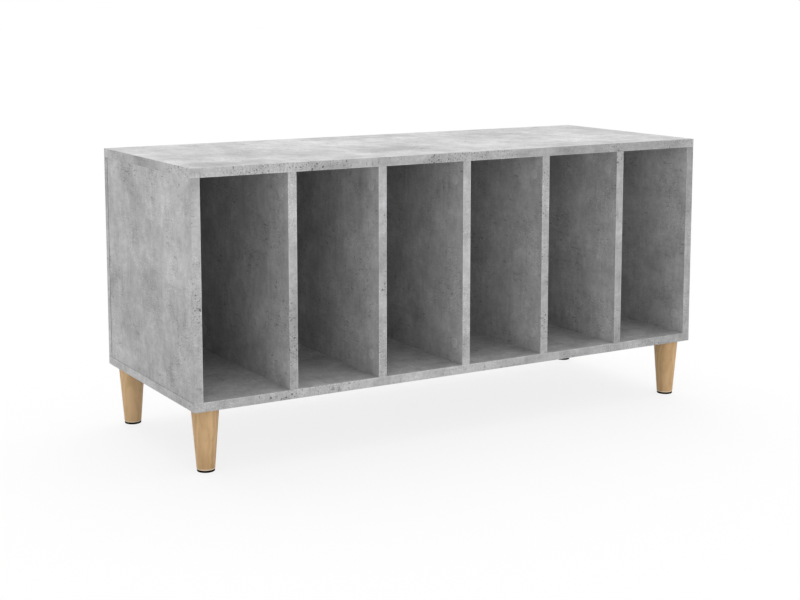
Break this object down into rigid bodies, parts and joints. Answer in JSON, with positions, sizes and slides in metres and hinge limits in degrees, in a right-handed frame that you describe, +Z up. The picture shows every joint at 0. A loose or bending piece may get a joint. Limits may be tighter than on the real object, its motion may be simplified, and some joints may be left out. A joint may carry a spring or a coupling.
{
  "type": "record cabinet",
  "caption": "Low open-fronted record cabinet with upright bays between dividers, a closed back and short tapered wooden legs, in a grey concrete finish.",
  "frame": {"origin": "on the floor, under the middle of the cabinet", "axes": "+X to the right along the width, +Y to the back, +Z up; the open front faces -Y"},
  "size_m": [1, 0.38, 0.4835],
  "materials": {
    "concrete_board": "satin",
    "concrete_edge_band": "satin",
    "concrete_cap": "satin",
    "turned_wood": "satin",
    "black_glide": "matte",
    "zinc_steel": "satin",
    "cam_zinc": "satin",
    "dowel_wood": "matte"
  },
  "bodies": {
    "root": {"top_panel": "concrete_board", "bottom_panel": "concrete_board", "back_panel": "concrete_board", "left_side_panel": "concrete_board", "right_side_panel": "concrete_board", "divider_1": "concrete_board", "divider_2": "concrete_board", "divider_3": "concrete_board", "divider_4": "concrete_board", "divider_5": "concrete_board", "top_front_band": "concrete_edge_band", "top_rear_band": "concrete_edge_band", "top_left_band": "concrete_edge_band", "top_right_band": "concrete_edge_band", "bottom_front_band": "concrete_edge_band", "bottom_rear_band": "concrete_edge_band", "bottom_left_band": "concrete_edge_band", "bottom_right_band": "concrete_edge_band", "left_side_band": "concrete_edge_band", "right_side_band": "concrete_edge_band", "back_left_band": "concrete_edge_band", "back_right_band": "concrete_edge_band", "divider_1_band": "concrete_edge_band", "divider_2_band": "concrete_edge_band", "divider_3_band": "concrete_edge_band", "divider_4_band": "concrete_edge_band", "divider_5_band": "concrete_edge_band", "front_left_leg": "turned_wood", "front_right_leg": "turned_wood", "rear_left_leg": "turned_wood", "rear_right_leg": "turned_wood", "front_left_glide": "black_glide", "front_right_glide": "black_glide", "rear_left_glide": "black_glide", "rear_right_glide": "black_glide", "leg_inserts": "zinc_steel", "hanger_bolts": "zinc_steel", "back_screws": "zinc_steel", "top_cam_bolts": "zinc_steel", "bottom_cam_bolts": "zinc_steel", "top_cam_locks": "cam_zinc", "bottom_cam_locks": "cam_zinc", "top_cam_caps": "concrete_cap", "bottom_cam_caps": "concrete_cap", "top_dowels": "dowel_wood", "bottom_dowels": "dowel_wood"}
  },
  "joints": []
}
